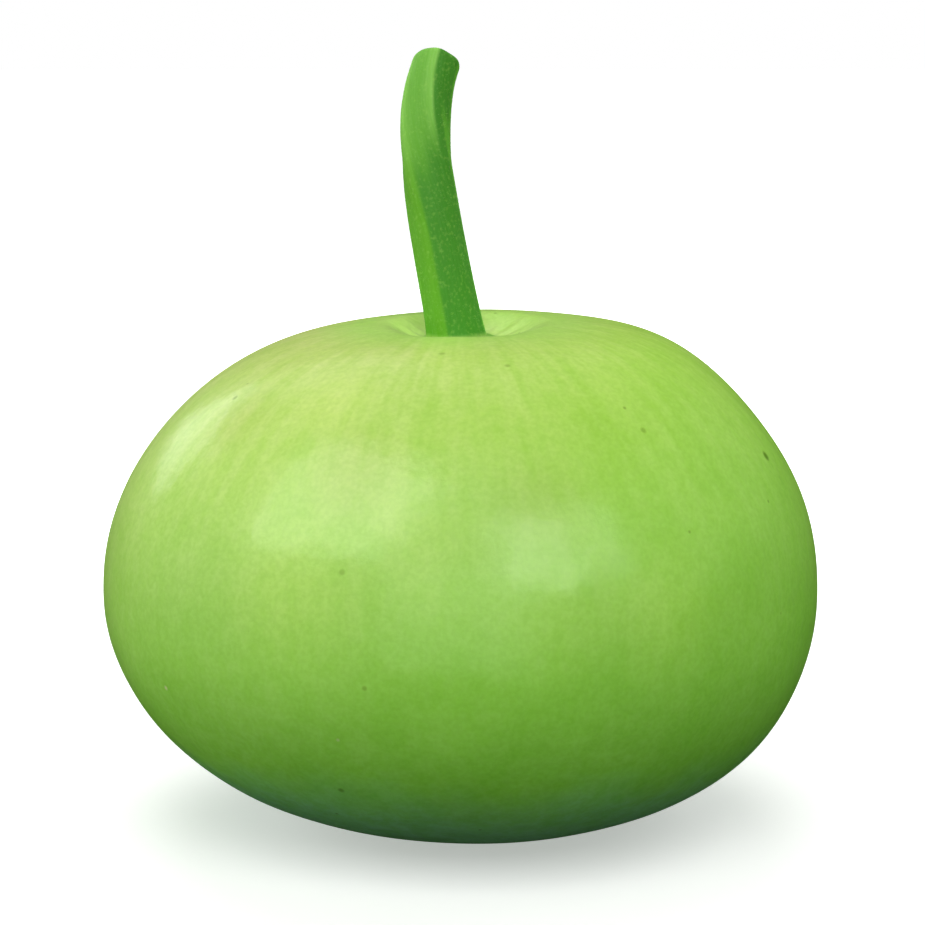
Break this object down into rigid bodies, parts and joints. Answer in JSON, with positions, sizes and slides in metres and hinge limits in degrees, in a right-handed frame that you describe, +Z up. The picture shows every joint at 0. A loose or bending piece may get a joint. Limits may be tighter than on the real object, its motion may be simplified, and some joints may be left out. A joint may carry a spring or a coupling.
{
  "type": "round bottle gourd",
  "caption": "Squat, smooth green gourd fruit that stands on its blossom end, with a ridged, curved stem growing out of a hollow in its top.",
  "frame": {"origin": "the middle of the whole object's outline on the surface that the fruit stands on", "axes": "+Z up, from the flower scar to the stem; +X to the right as the picture shows it; -Y towards the viewer"},
  "size_m": [0.1616, 0.1609, 0.1753],
  "materials": {
    "green_skin": "waxy satin, pale yellow-green on top to deeper green below",
    "green_rind": "matt fresh green with fine pale hairs, pale at the cut end"
  },
  "bodies": {
    "root": {"fruit": "green_skin", "stem": "green_rind"}
  },
  "joints": []
}
